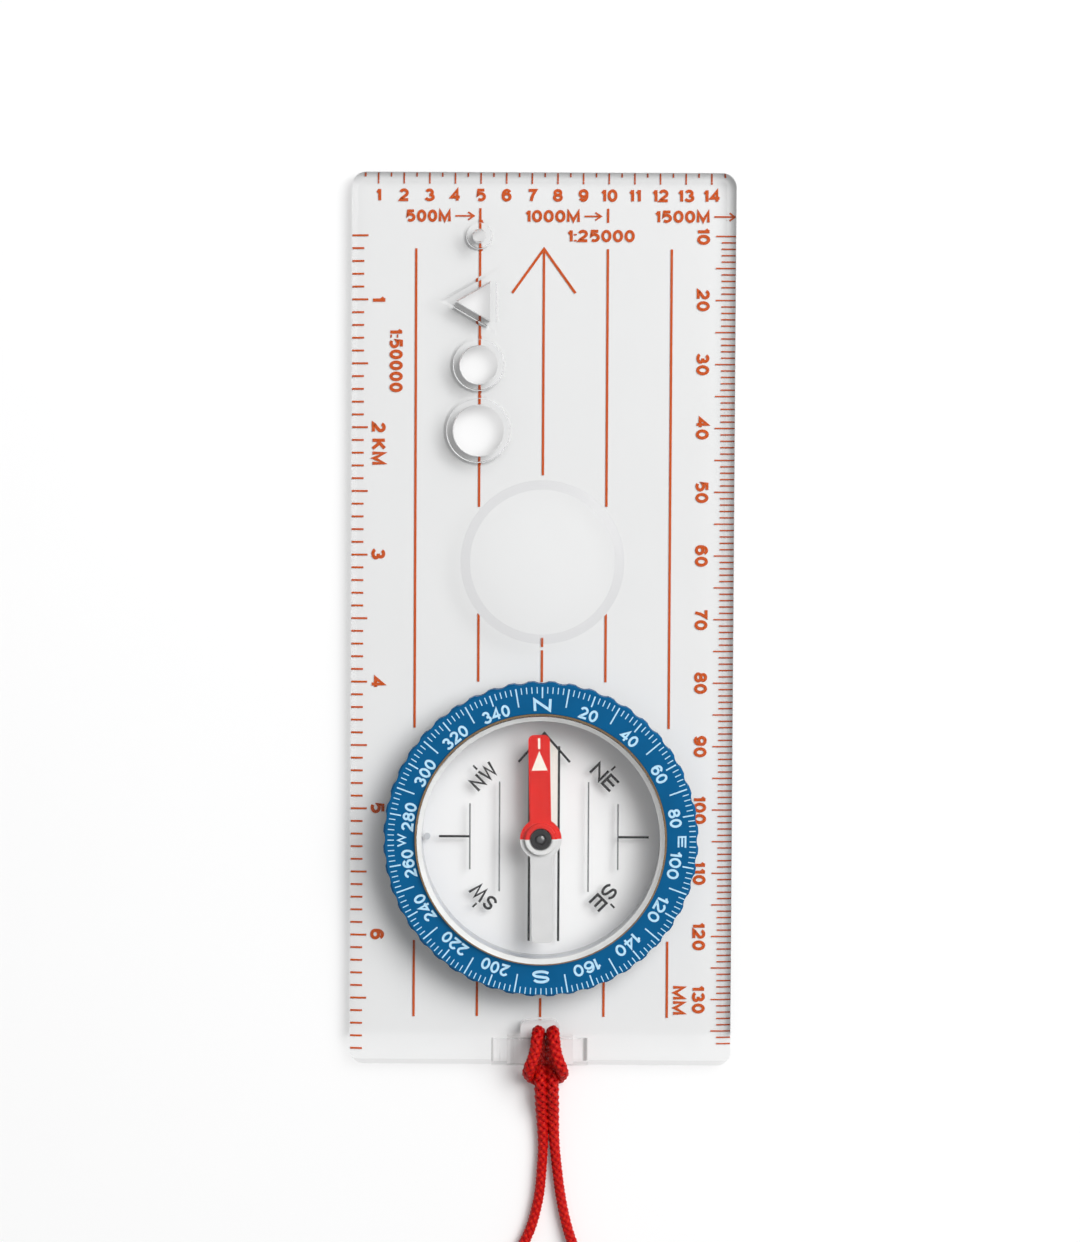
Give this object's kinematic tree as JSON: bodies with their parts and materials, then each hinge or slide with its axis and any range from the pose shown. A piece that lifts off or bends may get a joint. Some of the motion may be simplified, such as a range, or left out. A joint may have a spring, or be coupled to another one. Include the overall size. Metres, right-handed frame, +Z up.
{
  "type": "baseplate compass",
  "caption": "Clear rectangular map compass with a turning scalloped blue dial, a swinging red and white needle, a magnifier, drawing holes and a red neck cord.",
  "frame": {"origin": "middle of the plate's underside, on the table, with the cord left out", "axes": "+Z up through the plate, +Y along the plate to the front edge where its direction arrow points, +X to the right seen from above"},
  "size_m": [0.06, 0.2105, 0.0084],
  "materials": {
    "clear_plastic": "clear, polished",
    "blue_plastic": "satin",
    "brass_trim": "polished",
    "steel_pin": "ground",
    "needle_paint": "red half and white half",
    "hub_plastic": "red half and white half",
    "black_plastic": "glossy",
    "jewel_glass": "polished",
    "red_cord": "braided",
    "black_band": "matte"
  },
  "bodies": {
    "baseplate": {"baseplate": "clear_plastic", "lanyard_hitch": "red_cord", "lanyard_left": "red_cord", "lanyard_right": "red_cord", "lanyard_link": "red_cord", "lanyard_coil": "red_cord", "lanyard_knot": "red_cord", "coil_tie": "black_band"},
    "dial": {"bezel_ring": "blue_plastic", "retaining_ring": "blue_plastic", "capsule_base": "clear_plastic", "capsule_cover": "clear_plastic", "capsule_ring": "brass_trim", "fill_plug": "clear_plastic", "pivot_pin": "steel_pin"},
    "needle": {"needle_blade": "needle_paint", "needle_hub": "hub_plastic", "needle_bush": "black_plastic", "jewel": "jewel_glass"}
  },
  "joints": [
    {"name": "dial_turn", "type": "hinge", "parent": "baseplate", "child": "dial", "pos_m": [0, -0.034, 0.0022], "axis": [0, 0, 1], "continuous": true},
    {"name": "needle_swing", "type": "hinge", "parent": "dial", "child": "needle", "pos_m": [0, -0.034, 0.0054], "axis": [0, 0, 1], "continuous": true}
  ]
}
